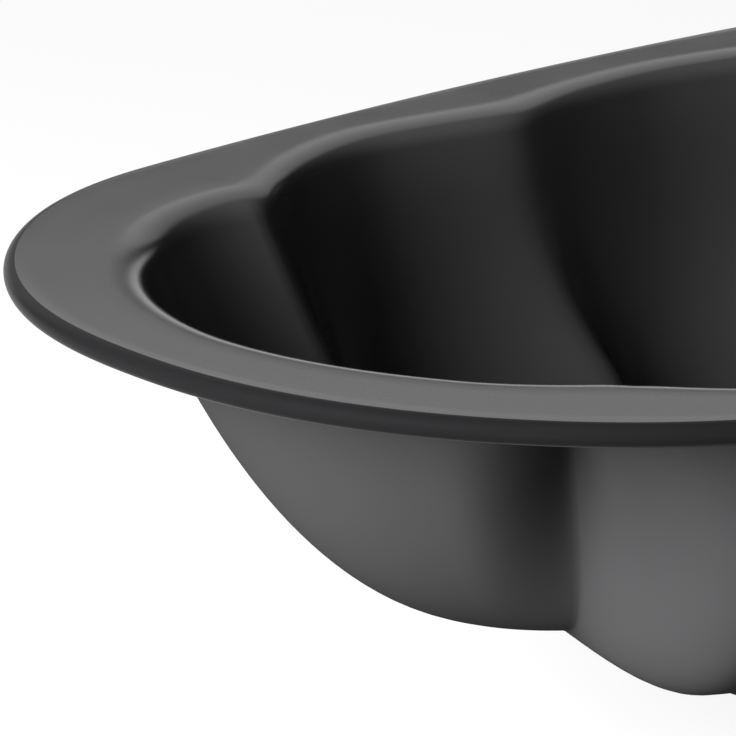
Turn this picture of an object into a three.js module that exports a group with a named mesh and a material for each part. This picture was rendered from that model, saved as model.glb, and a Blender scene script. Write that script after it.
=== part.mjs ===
// Braided loaf pan: one pressing of coated sheet steel, with a steel wire rolled into its rim.
// Millimetres. X runs along the pan, Y across it and Z up; the origin is under the middle of the base.
import * as THREE from 'three';

// Overall sizes, over the rolled rim
const length = 374;
const width = 162;
const height = 64;

// Sheet, and the rim rolled round its wire
const sheet = 0.45;
const wireDiameter = 1.2;
const wireGap = 0.3;              // clear all round the wire
const rollSweep = 270;            // degrees that the sheet turns

// Plan of the rim: the sides bow gently and run into rounded ends
const rimBow = 26.8;              // how far the bow alone would close each side at the tips
const rimCap = 52;                // length of a rounded end
const rimFullness = 2.26;         // 2 is an ellipse, more is squarer

// Plan of the mouth, where the flat flange ends over the crowns of the strands
const sideFlange = 10;
const endFlange = 11.7;
const mouthBow = 18.5;
const mouthCap = 55;
const mouthFullness = 2.15;
const mouthDrop = 3;              // depth of the rounding from the flange into the wall
const mouthLead = 2;              // how far outside the mouth it starts
const mouthSlope = 0.4;           // steepest lean of the wall that it takes up
const leanSpan = 2;               // degrees of the section under the mouth over which that lean is taken

// Noses, the strands that close the two ends: rounded in plan, about the end of the spine
const noseLength = 42.3;
const noseHalfWidth = 49.5;
const planFullness = 1.86;
const noseCrease = 62.6;          // degrees from the tip round to the nearer of its two creases
const noseTurn = 10;              // how far the nose turns in at that crease
const noseFlank = 18;             // length round the nose over which it does
const fadeLow = 20;               // degrees up the section from where its creases begin to show
const fadeHigh = 55;              // and where they show fully
const noseDepth = 42.7;
const noseFullness = 2.54;        // of its section, across
const noseFlare = 1.08;           // and in depth
const noseRun = 14;               // over which a side strand swells out of the crease beside a nose

// Strands along the sides, which take turns in front and behind
const creasesPerSide = 6;
const creaseCrowd = 0.06;         // how much wider the strands are in the middle of the pan
const creaseDepth = 12;           // how far a crease stands in from the crowns, halfway up the wall
const creaseBase = 4;             // the same under the base
const creaseFull = 50;            // degrees up the section over which it deepens
const creaseShoulder = 1.2;       // the same under the flange, and where a nose starts
const creaseFade = 60;            // degrees up the section from where it fades to that
const creaseRound = 3;            // rounding along a crease
const creaseLean = 0.167;         // drift of a crease along the pan for each unit of depth
const steepRun = 13;              // a strand's flank next to the crease it rises from
const gentleRun = 42;             // and its flank down to the next one
const gentlePower = 1.5;          // 1 is a straight flank, 2 a rounded one
const creaseNotch = 3.4;          // how far a crease draws the flange in
const notchRun = 30;
const notchRound = 5;
const seamSwing = 16;             // degrees by which a strand reaches over the middle of the base
const seamBlend = 13;             // degrees over which it dips under its neighbour
const sideFullness = 3.3;
const spineDepth = 46.7;          // of the base at the ends of the spine
const keelRise = 60;              // length at each end over which the base rises to that
const crownPress = 2;             // the lowest crowns are pressed flat by this much, to stand on

// Faceting
const stepsPerCrease = 4;         // stations from one crease to the next on the other side
const stepsRoundNose = 12;
const stepsPerTurn = 12;          // round the roll
const wireSides = 6;
const filletSteps = 3;
const wallSteps = 9;

const { clamp, degToRad, lerp, smoothstep } = THREE.MathUtils;
const rollRadius = wireDiameter / 2 + wireGap + sheet;
const crownDepth = height - sheet + crownPress;
const rimPlan = { half: length / 2, side: width / 2, bow: rimBow, cap: rimCap, power: rimFullness };
const mouthHalf = length / 2 - endFlange;
const mouthSide = width / 2 - sideFlange;
const mouthPlan = { half: mouthHalf, side: mouthSide, bow: mouthBow, cap: mouthCap, power: mouthFullness };
const spineEnd = mouthHalf - noseLength;
const lastOrder = creasesPerSide - 1.5;
const creaseSpacing = spineEnd / lastOrder;

// Half the width of a plan at x
function halfWidth(plan, x) {
  const along = Math.min(Math.abs(x), plan.half);
  const cap = Math.max(0, (along - plan.half + plan.cap) / plan.cap);
  const bowed = plan.side - plan.bow * (along / plan.half) ** 2;
  return bowed * Math.max(0, 1 - cap ** plan.power) ** (1 / plan.power);
}

// Distance along a direction from a point on the middle line to the edge of a plan
function reach(plan, x, direction) {
  let inside = 0;
  let outside = plan.half + plan.side;
  for (let halving = 0; halving < 48; halving += 1) {
    const middle = (inside + outside) / 2;
    const tryX = x + middle * direction.x;
    const within = Math.abs(tryX) < plan.half && Math.abs(middle * direction.y) < halfWidth(plan, tryX);
    if (within) inside = middle;
    else outside = middle;
  }
  return inside;
}

// Distance from the end of the spine to the edge of a nose, at an angle from the tip
function noseReach(angle) {
  const along = Math.abs(Math.cos(angle) / noseLength) ** planFullness;
  const across = Math.abs(Math.sin(angle) / noseHalfWidth) ** planFullness;
  return (along + across) ** (-1 / planFullness);
}

// Place along the pan of a crease, counted in half-strands from the middle
function place(order) {
  return order * creaseSpacing * (1 + creaseCrowd * (1 - (order / lastOrder) ** 2));
}

// Creases on one side, -1 in front and 1 behind, in order along the pan. The first and last are shared
// with the noses, so they notch the flange as far as the nose stands in from it.
function creases(side) {
  const tilt = degToRad(noseCrease);
  const direction = new THREE.Vector2(Math.cos(tilt), Math.sin(tilt));
  const nearReach = reach(mouthPlan, spineEnd, direction);
  const nearX = spineEnd + nearReach * direction.x;
  const list = [{ x: -nearX, notch: nearReach - noseReach(tilt) }];
  for (let k = 1; k < creasesPerSide; k += 1) {
    list.push({ x: place(2 * k - creasesPerSide + 0.5), notch: creaseNotch });
  }
  list.at(-1).notch = halfWidth(mouthPlan, spineEnd) - noseHalfWidth;
  if (side < 0) return list;
  return list.map(({ x, notch }) => ({ x: -x, notch })).reverse();
}

// 1 in a crease, fading to 0 at the end of its flank
function dip(distance, run, rounding, power = 2) {
  const away = Math.hypot(Math.max(0, distance), rounding) - rounding;
  return (1 - Math.min(1, away / run)) ** power;
}

// The strand that meets the mouth at x on one side: its back there, how far its creases cut into the flange,
// and its share of the form of the nose beside it
function strandAt(side, x) {
  const list = creases(side);
  let k = 0;
  while (k < list.length - 2 && x > list[k + 1].x) k += 1;
  const before = x - list[k].x;
  const after = list[k + 1].x - x;
  const steep = dip(before, steepRun, creaseRound);
  const gentle = dip(after, gentleRun, creaseRound, gentlePower);
  const cutBefore = list[k].notch * dip(before, notchRun, notchRound);
  const cutAfter = list[k + 1].notch * dip(after, notchRun, notchRound);
  const fromNose = Math.min(x - list[0].x, list.at(-1).x - x);
  return {
    back: (1 - steep) * (1 - gentle),
    cut: cutBefore + cutAfter,
    share: dip(fromNose, noseRun, creaseRound),
  };
}

// Middle of the base: each strand reaches over the middle line and dips under the next one
function baseBack(x, angle) {
  const seam = seamSwing * Math.cos(Math.PI * (x / creaseSpacing + creasesPerSide + 0.5));
  return lerp(strandAt(-1, x).back, strandAt(1, x).back, smoothstep(angle - seam, -seamBlend, seamBlend));
}

// A station is an upright half-section of the pan, from its spine out past the edge of the mouth to the rim.
// Its shape holds the edge, the share of the nose's form, and how near the deeper crease of a nose it is.
function station(spineX, direction, shape, strandAtAngle) {
  const tuck = 1 - smoothstep(spineEnd - Math.abs(spineX), 0, creaseSpacing / 2);
  const backAt = (angle) => lerp(strandAtAngle(angle), 1, tuck * (1 - smoothstep(angle, fadeLow, fadeHigh)));
  const rimReach = reach(rimPlan, spineX, direction);
  const rim = new THREE.Vector2(spineX + rimReach * direction.x, rimReach * direction.y);
  return { spineX, direction, ...shape, tuck, backAt, rim };
}

// Stations along one side, square to the spine, from the end where the loop of stations enters it
function sideStations(side) {
  const direction = new THREE.Vector2(0, side);
  const steps = stepsPerCrease * (2 * creasesPerSide - 3);
  const list = [];
  for (let k = 0; k < steps; k += 1) {
    const x = side * place(lerp(lastOrder, -lastOrder, k / steps));
    const { cut, share } = strandAt(side, x);
    const shape = { edge: halfWidth(mouthPlan, x) - cut, share, nearer: side * x > 0 ? 1 : 0 };
    list.push(station(x, direction, shape, (angle) => baseBack(x, side * angle)));
  }
  return list;
}

// The nose at an angle from the tip
function noseShape(angle) {
  const crease = degToRad(noseCrease);
  const fromFar = dip((angle + Math.PI / 2) * noseHalfWidth, noseFlank, creaseRound);
  const fromNear = dip((crease - angle) * noseHalfWidth, noseFlank, creaseRound);
  const nearer = smoothstep(angle, -crease / 2, crease * 3 / 4);
  return { edge: noseReach(angle), share: 1, nearer, back: (1 - fromFar) * (1 - fromNear) };
}

// Stations fanned round one end, -1 or 1: over the nose, then over the side strand that starts beside it
function endStations(end) {
  const spineX = end * spineEnd;
  const keelBack = baseBack(spineX, 0);
  const crease = degToRad(noseCrease);
  const list = [];
  const add = (angle, shapeAlong) => {
    const direction = new THREE.Vector2(end * Math.cos(angle), end * Math.sin(angle));
    const { back, ...shape } = shapeAlong(direction);
    const strandAtAngle = (turn) => lerp(keelBack, back, smoothstep(turn, 0, 2 * seamBlend));
    list.push(station(spineX, direction, shape, strandAtAngle));
  };
  for (let k = 0; k < stepsRoundNose; k += 1) {
    const angle = lerp(-Math.PI / 2, crease, k / stepsRoundNose);
    add(angle, () => noseShape(angle));
  }
  for (let k = 0; k < stepsPerCrease; k += 1) {
    add(lerp(crease, Math.PI / 2, k / stepsPerCrease), (direction) => {
      const mouth = reach(mouthPlan, spineX, direction);
      const { back, cut, share } = strandAt(end, spineX + mouth * direction.x);
      return { edge: mouth - cut, share, nearer: 1, back };
    });
  }
  return list;
}

// Outward direction of the rim at a station, square to the line through its neighbours
function addRimNormals(stations) {
  stations.forEach((here, i) => {
    const before = stations[(i + stations.length - 1) % stations.length].rim;
    const after = stations[(i + 1) % stations.length].rim;
    here.outward = new THREE.Vector2(after.y - before.y, before.x - after.x).normalize();
  });
  return stations;
}

// Depth that the wall runs down to, which both sides share in the middle of the base
function baseDepth({ spineX, share, tuck }, angle) {
  const rise = Math.max(0, (Math.abs(spineX) - spineEnd) / keelRise + 1);
  const keel = lerp(crownDepth, spineDepth, rise ** 2);
  return lerp(keel, noseDepth, lerp(tuck, share, smoothstep(angle, 0, 2 * seamBlend)));
}

// How far the wall stands in from the crowns, at an angle up the section
function insetAt({ share, nearer, backAt }, angle) {
  const strand = lerp(creaseBase, creaseDepth, smoothstep(angle, 0, creaseFull));
  const nose = lerp(creaseShoulder, noseTurn, nearer);
  const inset = lerp(strand, nose, share * smoothstep(angle, 0, 2 * seamBlend));
  return lerp(inset, creaseShoulder, smoothstep(angle, creaseFade, 90)) * (1 - backAt(angle));
}

// Wall of a station, at an angle up the section: how far out it stands and how deep
function wallAt(here, angle) {
  const sine = Math.sin(degToRad(angle));
  const cosine = Math.max(0, Math.cos(degToRad(angle)));
  const inset = insetAt(here, angle);
  const easeOut = 2 / lerp(sideFullness, noseFullness, here.share);
  const easeDown = 2 / lerp(sideFullness, noseFlare, here.share);
  return {
    out: (here.edge - mouthDrop) * sine ** easeOut - inset * sine,
    depth: mouthDrop + (baseDepth(here, angle) - mouthDrop) * cosine ** easeDown - inset * cosine,
  };
}

// Rounding over the mouth, from the lean of the wall to the flat of the flange
function roundingAt(here, fraction) {
  const top = wallAt(here, 90);
  const below = wallAt(here, 90 - leanSpan);
  const slope = clamp((top.out - below.out) / (below.depth - top.depth), 0, mouthSlope);
  const meet = top.out + mouthDrop * slope;
  const left = 1 - fraction;
  return {
    out: top.out * left ** 2 + 2 * meet * fraction * left + (here.edge + mouthLead) * fraction ** 2,
    depth: mouthDrop * left ** 2,
  };
}

// Point on the upper face: rows 0 to 1 climb the wall, 1 to 2 round the mouth, 2 to 3 cross the flange
// and 3 to 4 follow the roll
function upperPoint(here, row) {
  const { spineX, direction, edge, rim, outward } = here;
  const rollCentre = rim.clone().addScaledVector(outward, -rollRadius);
  if (row >= 3) {
    const angle = Math.PI / 2 - (row - 3) * degToRad(rollSweep);
    const out = rollCentre.addScaledVector(outward, rollRadius * Math.cos(angle));
    return new THREE.Vector3(out.x, out.y, height - rollRadius + rollRadius * Math.sin(angle));
  }
  if (row >= 2) {
    const inner = new THREE.Vector2(spineX, 0).addScaledVector(direction, edge + mouthLead);
    const across = inner.lerp(rollCentre, row - 2);
    return new THREE.Vector3(across.x, across.y, height);
  }
  const { out, depth } = row < 1 ? wallAt(here, row * 90) : roundingAt(here, row - 1);
  const lean = creaseLean * depth * (1 - direction.x ** 2 * out / edge);
  return new THREE.Vector3(spineX + out * direction.x + lean, out * direction.y, height - depth);
}

// Directions out of a face given as rows of points: the mean of the facets round each point. In the middle
// of the base, where the two sides meet, it is straight up.
function facetNormals(rows) {
  const sums = rows.map((row) => row.map(() => new THREE.Vector3()));
  const facet = new THREE.Triangle();
  const normal = new THREE.Vector3();
  const add = (...corners) => {
    facet.set(...corners.map(([r, i]) => rows[r][i])).getNormal(normal);
    corners.forEach(([r, i]) => sums[r][i].add(normal));
  };
  for (let r = 0; r < rows.length - 1; r += 1) {
    rows[r].forEach((_, i) => {
      const next = (i + 1) % rows[r].length;
      add([r, i], [r + 1, i], [r + 1, next]);
      add([r, i], [r + 1, next], [r, next]);
    });
  }
  sums[0].forEach((sum) => sum.set(0, 0, 1));
  return sums.map((row) => row.map((sum) => sum.normalize()));
}

// Joins rows of points, each a closed ring, into one skin; points that coincide are shared. Rows that come
// back under the others are split into facets the other way, so that the two faces stay parallel.
function skin(rows, firstUnder = rows.length) {
  const positions = [];
  const index = [];
  const known = new Map();
  const vertex = (point) => {
    const key = point.toArray().map((value) => Math.round(value * 1e4)).join(' ');
    if (!known.has(key)) {
      known.set(key, known.size);
      positions.push(point.x, point.y, point.z);
    }
    return known.get(key);
  };
  const triangle = (...corners) => {
    const [a, b, c] = corners.map(vertex);
    if (a !== b && b !== c && c !== a) index.push(a, b, c);
  };
  for (let r = 0; r < rows.length - 1; r += 1) {
    rows[r].forEach((here, i) => {
      const next = (i + 1) % rows[r].length;
      const under = r >= firstUnder;
      triangle(here, rows[r + 1][i], under ? rows[r][next] : rows[r + 1][next]);
      triangle(under ? rows[r + 1][i] : here, rows[r + 1][next], rows[r][next]);
    });
  }
  const geometry = new THREE.BufferGeometry();
  geometry.setAttribute('position', new THREE.Float32BufferAttribute(positions, 3));
  geometry.setIndex(index);
  geometry.computeVertexNormals();
  return geometry;
}

// The pressing: the upper face from the base out round the roll, then the lower face back again
function shellGeometry(stations) {
  const rowList = (from, steps) => Array.from({ length: steps }, (_, k) => from + k / steps);
  const rollSteps = Math.round(stepsPerTurn * rollSweep / 360);
  const rows = [...rowList(0, wallSteps), ...rowList(1, filletSteps), 2, ...rowList(3, rollSteps), 4];
  const upper = rows.map((row) => stations.map((here) => upperPoint(here, row)));
  upper.flat().forEach((point) => { point.z = Math.max(point.z, sheet); });
  const normals = facetNormals(upper);
  const lower = upper.map((row, r) => row.map((point, i) => {
    const under = point.clone().addScaledVector(normals[r][i], -sheet);
    under.z = point.z > sheet ? Math.max(under.z, 0) : 0;
    return under;
  }));
  return skin([...upper, ...lower.reverse()], upper.length);
}

// The wire: a closed loop that lies along the middle of the roll
function wireGeometry(stations) {
  const rows = [];
  for (let k = 0; k <= wireSides; k += 1) {
    const angle = -2 * Math.PI * (k % wireSides) / wireSides;
    rows.push(stations.map(({ rim, outward }) => {
      const out = rim.clone().addScaledVector(outward, Math.cos(angle) * wireDiameter / 2 - rollRadius);
      return new THREE.Vector3(out.x, out.y, height - rollRadius + Math.sin(angle) * wireDiameter / 2);
    }));
  }
  return skin(rows);
}

const coating = new THREE.MeshStandardMaterial({ color: 0x2a2a2b, roughness: 0.42, metalness: 0.2 });
const steel = new THREE.MeshStandardMaterial({ color: 0xa9abac, roughness: 0.35, metalness: 1 });

const stations = addRimNormals([
  ...sideStations(1), ...endStations(-1), ...sideStations(-1), ...endStations(1),
]);
const panShell = new THREE.Mesh(shellGeometry(stations), coating);
panShell.name = 'pan_shell';
const rimWire = new THREE.Mesh(wireGeometry(stations), steel);
rimWire.name = 'rim_wire';

const pan = new THREE.Group();
pan.add(panShell, rimWire);
export default pan;
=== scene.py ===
import math
import bpy
import bmesh
import numpy as np
from mathutils import Matrix, Vector


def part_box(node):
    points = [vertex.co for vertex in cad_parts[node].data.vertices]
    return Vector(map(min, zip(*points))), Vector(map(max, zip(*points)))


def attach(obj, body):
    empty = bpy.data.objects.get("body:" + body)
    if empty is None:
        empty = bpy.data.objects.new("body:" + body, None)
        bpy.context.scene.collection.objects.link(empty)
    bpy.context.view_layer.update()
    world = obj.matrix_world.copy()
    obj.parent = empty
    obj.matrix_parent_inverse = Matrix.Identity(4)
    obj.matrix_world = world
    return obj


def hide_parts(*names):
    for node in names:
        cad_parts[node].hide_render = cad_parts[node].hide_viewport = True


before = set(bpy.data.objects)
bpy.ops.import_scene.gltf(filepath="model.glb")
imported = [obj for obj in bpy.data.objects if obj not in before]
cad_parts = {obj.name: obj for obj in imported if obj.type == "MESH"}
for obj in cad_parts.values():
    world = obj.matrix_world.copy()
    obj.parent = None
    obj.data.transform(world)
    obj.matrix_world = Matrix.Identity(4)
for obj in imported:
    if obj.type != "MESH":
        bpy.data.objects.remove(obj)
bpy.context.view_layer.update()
shellLow, shellHigh = (Vector(corner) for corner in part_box("pan_shell"))
mm = 0.001
scene = bpy.context.scene


def linear(hexColour):
    channels = [int(hexColour[k:k + 2], 16) / 255 for k in (1, 3, 5)]
    curve = [c / 12.92 if c <= 0.04045 else ((c + 0.055) / 1.055) ** 2.4 for c in channels]
    return (*curve, 1.0)


# Inputs go by name, with _ for a space, or by number, as _0 and _1.
def addNode(tree, kind, settings=(), **inputs):
    node = tree.nodes.new(kind)
    for name, value in dict(settings).items():
        setattr(node, name, value)
    for name, value in inputs.items():
        key = int(name[1:]) if name[1:].isdigit() else name.replace("_", " ")
        socket = node.inputs[key]
        if isinstance(value, bpy.types.NodeSocket):
            tree.links.new(value, socket)
        else:
            socket.default_value = value
    return node


def newMaterial(name):
    material = bpy.data.materials.new(name)
    material.use_nodes = True
    material.node_tree.nodes.clear()
    return material, material.node_tree


# The pressing, in millimetres and degrees. Length, width and height come from the frame.
pressing = {
    "length": (shellHigh.x - shellLow.x) / mm,
    "width": (shellHigh.y - shellLow.y) / mm,
    "height": (shellHigh.z - shellLow.z) / mm,
    "sheet": 0.45,
    "rollRadius": 1.35,       # outside of the bead
    "rollSweep": 270,
    "rimBow": 26.8,
    "rimCap": 52,
    "rimFullness": 2.26,
    "sideFlange": 10,
    "endFlange": 11.7,
    "mouthBow": 18.5,
    "mouthCap": 55,
    "mouthFullness": 2.15,
    "mouthDrop": 3,           # depth of the rounding from the flange into the wall
    "mouthSlope": 0.4,        # steepest lean of the wall that it takes up
    "mouthLead": 2,           # how far outside the mouth it starts
    "noseLength": 42.3,
    "noseHalfWidth": 49.5,
    "noseCrease": 62.6,       # from the tip round to the nearer crease
    "noseTurn": 10,           # how far the nose turns in at that crease
    "noseFlank": 18,          # and over what length
    "noseFade": (20, 55),     # degrees up from the base where its creases begin to show
    "planFullness": 1.86,
    "noseDepth": 42.7,
    "noseFullness": 2.54,
    "noseFlare": 1.08,
    "noseRun": 14,            # over which a side strand swells out of the crease beside a nose
    "creasesPerSide": 6,
    "creaseCrowd": 0.06,      # how much wider the strands are in the middle
    "creaseDepth": 12,
    "creaseBase": 4,          # its depth under the pan, as far up as the next angle
    "creaseFull": 50,
    "creaseShoulder": 1.2,    # its depth right under the flange, and beside the noses
    "creaseFade": 60,
    "creaseRound": 3,
    "creaseLean": 0.167,
    "steepRun": 13,           # a strand's near flank, behind each crease
    "gentleRun": 42,          # and its far flank, down to the next one
    "gentlePower": 1.5,       # 1 is straight, 2 rounded
    "creaseNotch": 3.4,
    "notchRun": 30,
    "notchRound": 5,
    "seamSwing": 16,
    "seamBlend": 13,
    "sideFullness": 3.3,
    "spineDepth": 46.7,
    "keelRise": 60,
    "crownPress": 2,          # flat that the lowest crowns stand on
    "pressRound": 0.6,        # softens the edge of that flat
    "stationsPerCrease": 16,  # fineness of the mesh
    "noseStations": 80,       # round a nose
    "startStations": 32,      # and over the side strand beside it
    "wallRows": 44,
    "filletRows": 10,
    "flangeRows": 5,
    "rollRows": 22,
    "weld": 0.001,            # points this close are one
    "sharpAngle": 60,         # edges that turn further stay sharp
    "halvings": 48,           # of the search for the edge of a plan
}
mouthHalf = pressing["length"] / 2 - pressing["endFlange"]
spineEnd = mouthHalf - pressing["noseLength"]
lastOrder = pressing["creasesPerSide"] - 1.5  # half-strands from the middle to the end of the spine
creaseSpacing = spineEnd / lastOrder
crownDepth = pressing["height"] - pressing["sheet"] + pressing["crownPress"]
rimPlan = {
    "half": pressing["length"] / 2,
    "side": pressing["width"] / 2,
    "bow": pressing["rimBow"],
    "cap": pressing["rimCap"],
    "power": pressing["rimFullness"],
}
mouthPlan = {
    "half": mouthHalf,
    "side": pressing["width"] / 2 - pressing["sideFlange"],
    "bow": pressing["mouthBow"],
    "cap": pressing["mouthCap"],
    "power": pressing["mouthFullness"],
}


def mix(a, b, t):
    return a + (b - a) * t


def smoothStep(x, low, high):
    t = np.clip((x - low) / (high - low), 0, 1)
    return t * t * (3 - 2 * t)


def halfWidth(plan, x):
    along = np.minimum(np.abs(x), plan["half"])
    cap = np.maximum(0, (along - plan["half"] + plan["cap"]) / plan["cap"])
    bowed = plan["side"] - plan["bow"] * (along / plan["half"]) ** 2
    return bowed * np.maximum(0, 1 - cap ** plan["power"]) ** (1 / plan["power"])


def reach(plan, x, dx, dy):  # from points on the middle line out to the edge of a plan
    inside = np.zeros_like(dx)
    outside = np.full_like(dx, plan["half"] + plan["side"])
    for halving in range(pressing["halvings"]):
        middle = (inside + outside) / 2
        tryX = x + middle * dx
        within = (np.abs(tryX) < plan["half"]) & (np.abs(middle * dy) < halfWidth(plan, tryX))
        inside = np.where(within, middle, inside)
        outside = np.where(within, outside, middle)
    return inside


def noseReach(angle):
    fullness = pressing["planFullness"]
    along = np.abs(np.cos(angle) / pressing["noseLength"]) ** fullness
    across = np.abs(np.sin(angle) / pressing["noseHalfWidth"]) ** fullness
    return (along + across) ** (-1 / fullness)


def creases(side):  # places along one side, and how deep each notches the flange
    tilt = np.radians(np.array([pressing["noseCrease"]]))
    nearReach = reach(mouthPlan, spineEnd, np.cos(tilt), np.sin(tilt))
    count = pressing["creasesPerSide"]
    order = 2 * np.arange(1, count) - count + 0.5
    inner = order * creaseSpacing * (1 + pressing["creaseCrowd"] * (1 - (order / lastOrder) ** 2))
    places = np.concatenate([-(spineEnd + nearReach * np.cos(tilt)), inner])
    notches = np.full(count, float(pressing["creaseNotch"]))
    notches[0] = (nearReach - noseReach(tilt))[0]
    notches[-1] = halfWidth(mouthPlan, spineEnd) - pressing["noseHalfWidth"]
    return (places, notches) if side < 0 else (-places[::-1], notches[::-1])


def dip(distance, run, rounding, power=2):  # 1 in a crease, fading to 0 at the end of its flank
    away = np.maximum(0, distance)
    return (1 - np.minimum(1, (np.hypot(away, rounding) - rounding) / run)) ** power


def strandAt(side, x):  # a strand's back, how far it draws the flange in, and its share of the nose's form
    places, notches = creases(side)
    k = np.clip(np.searchsorted(places, x) - 1, 0, len(places) - 2)
    before, after = x - places[k], places[k + 1] - x
    rounding, notchRound, notchRun = (pressing[key] for key in ("creaseRound", "notchRound", "notchRun"))
    gentle = dip(after, pressing["gentleRun"], rounding, pressing["gentlePower"])
    back = (1 - dip(before, pressing["steepRun"], rounding)) * (1 - gentle)
    cut = notches[k] * dip(before, notchRun, notchRound)
    cut += notches[k + 1] * dip(after, notchRun, notchRound)
    ends = np.minimum(x - places[0], places[-1] - x)
    return back, cut, dip(ends, pressing["noseRun"], rounding)


def seamAt(x):  # where the strands meet, in degrees either side of the middle of the base
    return pressing["seamSwing"] * np.cos(np.pi * (x / creaseSpacing + pressing["creasesPerSide"] + 0.5))


def sideStations(side):  # half-sections square to the spine
    steps = pressing["stationsPerCrease"] * (2 * pressing["creasesPerSide"] - 3)
    x = side * np.linspace(spineEnd, -spineEnd, steps + 1)[:-1]
    back, cut, share = strandAt(side, x)
    flat = np.zeros_like(x)
    return {
        "x": x, "dx": flat, "dy": flat + side, "edge": halfWidth(mouthPlan, x) - cut,
        "share": share, "nearer": np.where(side * x > 0, 1.0, 0.0),
        "first": strandAt(-1, x)[0], "second": strandAt(1, x)[0], "seam": seamAt(x), "turn": flat + side,
    }


def endStations(end):  # half-sections fanned round a nose, then over the side strand beside it
    crease = math.radians(pressing["noseCrease"])
    noseAngles = np.linspace(-math.pi / 2, crease, pressing["noseStations"] + 1)[:-1]
    sideAngles = np.linspace(crease, math.pi / 2, pressing["startStations"] + 1)[:-1]
    angle = np.concatenate([noseAngles, sideAngles])
    x = np.full_like(angle, end * spineEnd)
    dx, dy = end * np.cos(angle), end * np.sin(angle)
    mouth = reach(mouthPlan, x, dx, dy)
    back, cut, share = strandAt(end, x + mouth * dx)
    onNose = angle < crease
    arcs = np.array([angle + math.pi / 2, crease - angle]) * pressing["noseHalfWidth"]
    noseBack = np.prod(1 - dip(arcs, pressing["noseFlank"], pressing["creaseRound"]), axis=0)
    near, far = strandAt(-1, x)[0], strandAt(1, x)[0]
    blend = pressing["seamBlend"]
    return {
        "x": x, "dx": dx, "dy": dy,
        "edge": np.where(onNose, noseReach(angle), mouth - cut), "share": np.where(onNose, 1, share),
        "nearer": np.where(onNose, smoothStep(angle, -crease / 2, crease * 3 / 4), 1),
        "first": mix(near, far, smoothStep(-seamAt(x), -blend, blend)),
        "second": np.where(onNose, noseBack, back),
        "seam": np.full_like(x, blend), "turn": np.ones_like(x),
    }


def panStations():
    loops = [sideStations(1), endStations(-1), sideStations(-1), endStations(1)]
    stations = {key: np.concatenate([loop[key] for loop in loops]) for key in loops[0]}
    rimReach = reach(rimPlan, stations["x"], stations["dx"], stations["dy"])
    stations["rimX"] = stations["x"] + rimReach * stations["dx"]
    stations["rimY"] = rimReach * stations["dy"]
    tangentX = np.roll(stations["rimX"], -1) - np.roll(stations["rimX"], 1)
    tangentY = np.roll(stations["rimY"], -1) - np.roll(stations["rimY"], 1)
    size = np.hypot(tangentX, tangentY)
    stations["outX"], stations["outY"] = tangentY / size, -tangentX / size
    return stations


def wallRows(stations, out, depth):
    nose = stations["dx"] ** 2
    lean = pressing["creaseLean"] * depth * (1 - nose * out / stations["edge"])
    x = stations["x"] + out * stations["dx"] + lean
    return np.stack(np.broadcast_arrays(x, out * stations["dy"], pressing["height"] - depth), axis=-1)


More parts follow.
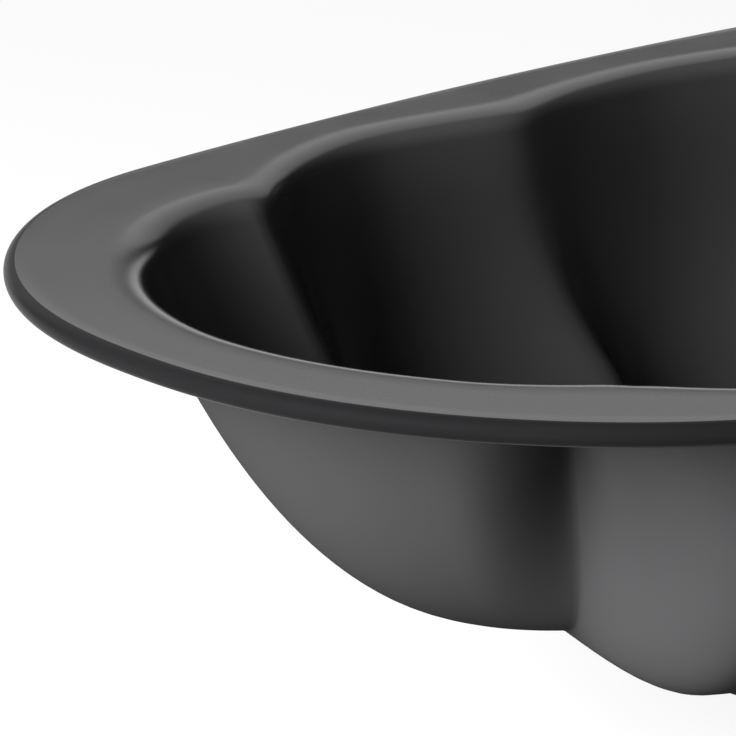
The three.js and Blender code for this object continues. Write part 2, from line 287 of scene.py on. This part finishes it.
def upperRows(stations):
    blend, drop = pressing["seamBlend"], pressing["mouthDrop"]
    edge = stations["edge"]
    share = stations["share"]
    # wall, from the middle of the base up to the mouth
    angle = np.linspace(0, 90, pressing["wallRows"] + 1)[:, None]
    aside = smoothStep(angle, 0, 2 * blend)  # 0 in the middle of the base, where both sides are alike
    tuck = 1 - smoothStep(spineEnd - np.abs(stations["x"]), 0, creaseSpacing / 2)
    back = mix(stations["first"], stations["second"],
               smoothStep(stations["turn"] * angle - stations["seam"], -blend, blend))
    back = mix(back, 1, tuck * (1 - smoothStep(angle, *pressing["noseFade"])))
    noseInset = mix(pressing["creaseShoulder"], pressing["noseTurn"], stations["nearer"])
    deepen = smoothStep(angle, 0, pressing["creaseFull"])
    strandInset = mix(pressing["creaseBase"], pressing["creaseDepth"], deepen)
    inset = mix(strandInset, noseInset, share * aside)
    fade = smoothStep(angle, pressing["creaseFade"], 90)
    inset = mix(inset, pressing["creaseShoulder"], fade) * (1 - back)
    rise = np.maximum(0, (np.abs(stations["x"]) - spineEnd) / pressing["keelRise"] + 1)
    keel = mix(crownDepth, pressing["spineDepth"], rise ** 2)
    deep = mix(keel, pressing["noseDepth"], mix(tuck, share, aside))
    sine, cosine = np.sin(np.radians(angle)), np.maximum(0, np.cos(np.radians(angle)))
    easeOut = 2 / mix(pressing["sideFullness"], pressing["noseFullness"], share)
    easeDown = 2 / mix(pressing["sideFullness"], pressing["noseFlare"], share)
    out = (edge - drop) * sine ** easeOut - inset * sine
    depth = drop + (deep - drop) * cosine ** easeDown - inset * cosine
    wall = wallRows(stations, out, depth)
    # rounding over the mouth, from the slope of the wall to the flat of the flange
    t = np.linspace(0, 1, pressing["filletRows"] + 1)[1:, None]
    slope = np.minimum(pressing["mouthSlope"], (out[-1] - out[-2]) / (depth[-2] - depth[-1]))
    meet = out[-1] + drop * slope
    rounding = out[-1] * (1 - t) ** 2 + 2 * meet * t * (1 - t) + (edge + pressing["mouthLead"]) * t ** 2
    fillet = wallRows(stations, rounding, drop * (1 - t) ** 2)
    # flange out to the bead
    outward = np.stack([stations["outX"], stations["outY"]], axis=-1)
    rim = np.stack([stations["rimX"], stations["rimY"]], axis=-1)
    beadMiddle = rim - pressing["rollRadius"] * outward
    part = np.linspace(0, 1, pressing["flangeRows"] + 1)[1:-1, None, None]
    across = mix(fillet[-1][None, :, :2], beadMiddle[None], part)
    flange = np.concatenate([across, np.full((*across.shape[:2], 1), pressing["height"])], axis=-1)
    # bead
    roll = np.radians(90 - np.linspace(0, pressing["rollSweep"], pressing["rollRows"] + 1))[:, None, None]
    beadOut = beadMiddle[None] + pressing["rollRadius"] * np.cos(roll) * outward[None]
    beadUp = pressing["height"] - pressing["rollRadius"] * (1 - np.sin(roll))
    bead = np.concatenate([beadOut, np.broadcast_to(beadUp, (*beadOut.shape[:2], 1))], axis=-1)
    return np.concatenate([wall, fillet, flange, bead])


def pressFlat(rows, floor):  # the lowest crowns are pressed against a flat
    over = rows[..., 2] - floor
    rows[..., 2] = floor + (over + np.hypot(over, pressing["pressRound"])) / 2


def pressedSkin():
    stations = panStations()
    upper = upperRows(stations)
    across = np.gradient(upper, axis=0)
    along = np.roll(upper, -1, axis=1) - np.roll(upper, 1, axis=1)
    normal = np.cross(across, along)
    normal[0] = (0, 0, 1)
    normal /= np.linalg.norm(normal, axis=-1, keepdims=True)
    lower = upper - pressing["sheet"] * normal
    pressFlat(upper, pressing["sheet"])
    pressFlat(lower, 0)
    return np.concatenate([upper, lower[::-1]])


def skinMesh(name, rows):
    count, ring = rows.shape[:2]
    corner = np.arange(count * ring).reshape(count, ring)
    after = np.roll(corner, -1, axis=1)
    faces = np.stack([corner[:-1], corner[1:], after[1:], after[:-1]], axis=-1).reshape(-1, 4)
    mesh = bpy.data.meshes.new(name)
    mesh.from_pydata((rows.reshape(-1, 3) * mm).tolist(), [], faces.tolist())
    row = np.arange(count - 1)
    beadStart = count // 2 - pressing["rollRows"] - 1
    finishes = np.where(row < beadStart, 0, np.where(row < count // 2, 1, 2))  # inside, bead, underside
    mesh.polygons.foreach_set("material_index", np.repeat(finishes, ring).astype(np.int32))
    work = bmesh.new()
    work.from_mesh(mesh)
    # joins the half-sections along the keel
    bmesh.ops.remove_doubles(work, verts=work.verts, dist=pressing["weld"] * mm)
    work.to_mesh(mesh)
    work.free()
    mesh.shade_smooth()
    mesh.set_sharp_from_angle(angle=math.radians(pressing["sharpAngle"]))
    return mesh


panBody = bpy.data.objects.new("pan_body", skinMesh("pan_body", pressedSkin()))
scene.collection.objects.link(panBody)
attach(panBody, "root")
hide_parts("pan_shell")
print("pressing:", len(panBody.data.vertices), "vertices,", len(panBody.data.polygons), "faces")

# Sprayed and cured non-stick coating, inside and on the flange: near-black satin that brightens
# when it is seen flat.
nonstick = {
    "name": "sprayed_nonstick_coating",
    "colour": "#454546",
    "gloss": 0.5,
    "ior": 1.27,              # of the porous fluoropolymer top coat
    "roughness": 0.16,
}

# The same coating on the bead, painted blacker as painted shade for the dark reflections round the roll,
# and given less gloss.
shadedBead = {
    "name": "bead_nonstick_painted_shade",
    # painted shade: darker than the coating's own colour
    "colour": "#1c1c1d",
    "gloss": 0.1,
    "ior": 1.24,
    "roughness": 0.3,
}

# Baked lacquer underneath: a matt dark grey that takes the light softly.
lacquer = {
    "name": "baked_black_lacquer",
    "colour": "#4a4a4b",
    "gloss": 0.0,
    "ior": 1.27,
    "roughness": 0.5,
}
spray = {
    "cloud": 18,              # mm across the faint clouds left by the spray
    "cloudDetail": 3,
    "cloudSwing": 0.04,       # of the roughness
    "grit": 0.5,              # mm across a cured droplet, drawn coarse enough to show
    "gritDetail": 1,
    "gritRise": 0.1,          # mm
    "gritBump": 0.03,
}


def sprayedFinish(finish):
    material, tree = newMaterial(finish["name"])
    place = addNode(tree, "ShaderNodeTexCoord").outputs["Object"]
    cloud = addNode(tree, "ShaderNodeTexNoise", Vector=place, Scale=1 / (spray["cloud"] * mm),
                    Detail=spray["cloudDetail"])
    middle, swing = finish["roughness"], spray["cloudSwing"]
    roughness = addNode(tree, "ShaderNodeMapRange", Value=cloud.outputs["Fac"],
                        To_Min=middle - swing, To_Max=middle + swing)
    grit = addNode(tree, "ShaderNodeTexNoise", Vector=place, Scale=1 / (spray["grit"] * mm),
                   Detail=spray["gritDetail"])
    bump = addNode(tree, "ShaderNodeBump", Strength=spray["gritBump"], Distance=spray["gritRise"] * mm,
                   Height=grit.outputs["Fac"])
    surface = addNode(
        tree, "ShaderNodeBsdfPrincipled", Base_Color=linear(finish["colour"]), IOR=finish["ior"],
        Specular_IOR_Level=finish["gloss"], Roughness=roughness.outputs["Result"],
        Normal=bump.outputs["Normal"])
    addNode(tree, "ShaderNodeOutputMaterial", Surface=surface.outputs["BSDF"])
    return material


for finish in (nonstick, shadedBead, lacquer):
    panBody.data.materials.append(sprayedFinish(finish))
print("finishes: non-stick inside, blacker bead, lacquer underneath")

# Drawn steel wire inside the bead: bright bare metal, a little uneven from the die.
wire = {
    "colour": "#a9abac",
    "roughness": 0.35,
    "scratch": 0.6,           # mm between die marks
    "scratchDetail": 2,
    "scratchSwing": 0.1,
}


def drawnSteelWire():
    material, tree = newMaterial("drawn_steel_wire")
    place = addNode(tree, "ShaderNodeTexCoord").outputs["Object"]
    marks = addNode(tree, "ShaderNodeTexNoise", Vector=place, Scale=1 / (wire["scratch"] * mm),
                    Detail=wire["scratchDetail"])
    middle, swing = wire["roughness"], wire["scratchSwing"]
    roughness = addNode(tree, "ShaderNodeMapRange", Value=marks.outputs["Fac"],
                        To_Min=middle - swing, To_Max=middle + swing)
    surface = addNode(
        tree, "ShaderNodeBsdfPrincipled", Base_Color=linear(wire["colour"]), Metallic=1.0,
        Roughness=roughness.outputs["Result"])
    addNode(tree, "ShaderNodeOutputMaterial", Surface=surface.outputs["BSDF"])
    return material


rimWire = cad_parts["rim_wire"]
rimWire.data.materials.clear()
rimWire.data.materials.append(drawnSteelWire())
print("rim wire: drawn steel")

# Studio: a pale floor and a white backdrop behind the pan, with one large softbox off its nose.
studio = {
    "floorSize": 6.0,         # metres
    "floorColour": "#787878",
    "floorWhite": 0.84,       # what the floor shows before the lamps reach it
    "backdrop": (0.5, 0.75, 0.43),   # direction of its middle
    "backdropEdge": (0.75, 0.88),    # cosines between which it fades in
    "band": 0.215,            # a greyer band runs across it at this height
    "bandEdge": (0.03, 0.1),  # half its height, and where it has faded
    "bandGrey": 0.12,
    "room": 0.05,             # what the coating mirrors beside the backdrop
    "skyFill": 0.015,         # light that the surroundings give
    "softboxAt": (-1.15, -0.04, 0.48),
    "softboxSize": (0.9, 0.8),
    "softboxWatts": 41,
}


def mirrored(tree):  # 1 for what mirrors and glass see
    path = addNode(tree, "ShaderNodeLightPath").outputs
    return addNode(tree, "ShaderNodeMath", {"operation": "MAXIMUM"},
                   _0=path["Is Glossy Ray"], _1=path["Is Transmission Ray"]).outputs[0]


def seenWhite(tree):  # and for what the camera sees too
    camera = addNode(tree, "ShaderNodeLightPath").outputs["Is Camera Ray"]
    return addNode(tree, "ShaderNodeMath", {"operation": "MAXIMUM"},
                   _0=camera, _1=mirrored(tree)).outputs[0]


def paleFloor():
    material, tree = newMaterial("pale_floor")
    white = addNode(tree, "ShaderNodeMath", {"operation": "MULTIPLY"},
                    _0=seenWhite(tree), _1=studio["floorWhite"])
    surface = addNode(
        tree, "ShaderNodeBsdfPrincipled", Base_Color=linear(studio["floorColour"]), Roughness=1.0,
        Specular_IOR_Level=0.0, Emission_Color=(1, 1, 1, 1), Emission_Strength=white.outputs[0])
    addNode(tree, "ShaderNodeOutputMaterial", Surface=surface.outputs["BSDF"])
    return material


def layFloor():
    mesh = bpy.data.meshes.new("floor")
    half = studio["floorSize"] / 2
    corners = [(-half, -half, 0), (half, -half, 0), (half, half, 0), (-half, half, 0)]
    mesh.from_pydata(corners, [], [(0, 1, 2, 3)])
    mesh.materials.append(paleFloor())
    floor = bpy.data.objects.new("floor", mesh)
    scene.collection.objects.link(floor)


def hangBackdrop():
    scene.world = bpy.data.worlds.new("studio")
    scene.world.use_nodes = True
    tree = scene.world.node_tree
    tree.nodes.clear()
    smooth = {"interpolation_type": "SMOOTHSTEP"}
    direction = addNode(tree, "ShaderNodeTexCoord").outputs["Generated"]
    upward = addNode(tree, "ShaderNodeSeparateXYZ", _0=direction).outputs["Z"]
    fromBand = addNode(tree, "ShaderNodeMath", {"operation": "SUBTRACT"}, _0=upward, _1=studio["band"])
    away = addNode(tree, "ShaderNodeMath", {"operation": "ABSOLUTE"}, _0=fromBand.outputs[0])
    low, high = studio["bandEdge"]
    cloth = addNode(tree, "ShaderNodeMapRange", smooth, Value=away.outputs[0],
                    From_Min=low, From_Max=high, To_Min=studio["bandGrey"], To_Max=1.0)
    towards = addNode(tree, "ShaderNodeVectorMath", {"operation": "DOT_PRODUCT"},
                      _0=direction, _1=studio["backdrop"])
    low, high = studio["backdropEdge"]
    backdrop = addNode(tree, "ShaderNodeMapRange", smooth, Value=towards.outputs["Value"],
                       From_Min=low, From_Max=high, To_Min=studio["room"], To_Max=cloth.outputs["Result"])
    light = addNode(tree, "ShaderNodeMix", {"data_type": "FLOAT"}, Factor=mirrored(tree),
                    A=studio["skyFill"], B=backdrop.outputs["Result"])
    camera = addNode(tree, "ShaderNodeLightPath").outputs["Is Camera Ray"]
    strength = addNode(tree, "ShaderNodeMix", {"data_type": "FLOAT"}, Factor=camera,
                       A=light.outputs["Result"], B=1.0)
    sky = addNode(tree, "ShaderNodeBackground", Color=(1, 1, 1, 1), Strength=strength.outputs["Result"])
    addNode(tree, "ShaderNodeOutputWorld", Surface=sky.outputs["Background"])


def hangSoftbox():
    lamp = bpy.data.lights.new("key_softbox", "AREA")
    lamp.shape = "RECTANGLE"
    lamp.size, lamp.size_y = studio["softboxSize"]
    lamp.energy = studio["softboxWatts"]
    holder = bpy.data.objects.new("key_softbox", lamp)
    holder.location = studio["softboxAt"]
    middle = (shellLow + shellHigh) / 2
    holder.rotation_euler = (middle - holder.location).to_track_quat("-Z", "Y").to_euler()
    holder.visible_glossy = False  # from the far end its mirror image would cover the flange in white
    scene.collection.objects.link(holder)


layFloor()
hangBackdrop()
hangSoftbox()
print("studio: floor, backdrop and softbox")

# Close view of one end, from in front and a little above.
view = {
    "azimuth": -39.4,         # degrees; 0 looks along +Y
    "elevation": 16.79,
    "place": (-0.42885, -0.33613),
    "overFlange": 0.123,      # height of the lens above the flange
    "lens": 195.52,
    "sensor": 36,
    "nearest": 0.01,          # what lies closer to the lens is cut off
}


def placeCamera():
    camera = bpy.data.cameras.new("camera")
    camera.lens = view["lens"]
    camera.sensor_width = view["sensor"]
    camera.clip_start = view["nearest"]
    holder = bpy.data.objects.new("camera", camera)
    scene.collection.objects.link(holder)
    turn, tilt = math.radians(view["azimuth"]), math.radians(view["elevation"])
    facing = Matrix.Rotation(turn, 4, "Z") @ Matrix.Rotation(math.pi / 2 - tilt, 4, "X")
    holder.matrix_world = Matrix.Translation((*view["place"], shellHigh.z + view["overFlange"])) @ facing
    scene.camera = holder


placeCamera()
scene.view_settings.view_transform = "Standard"
print("camera: lens", view["lens"], "mm")
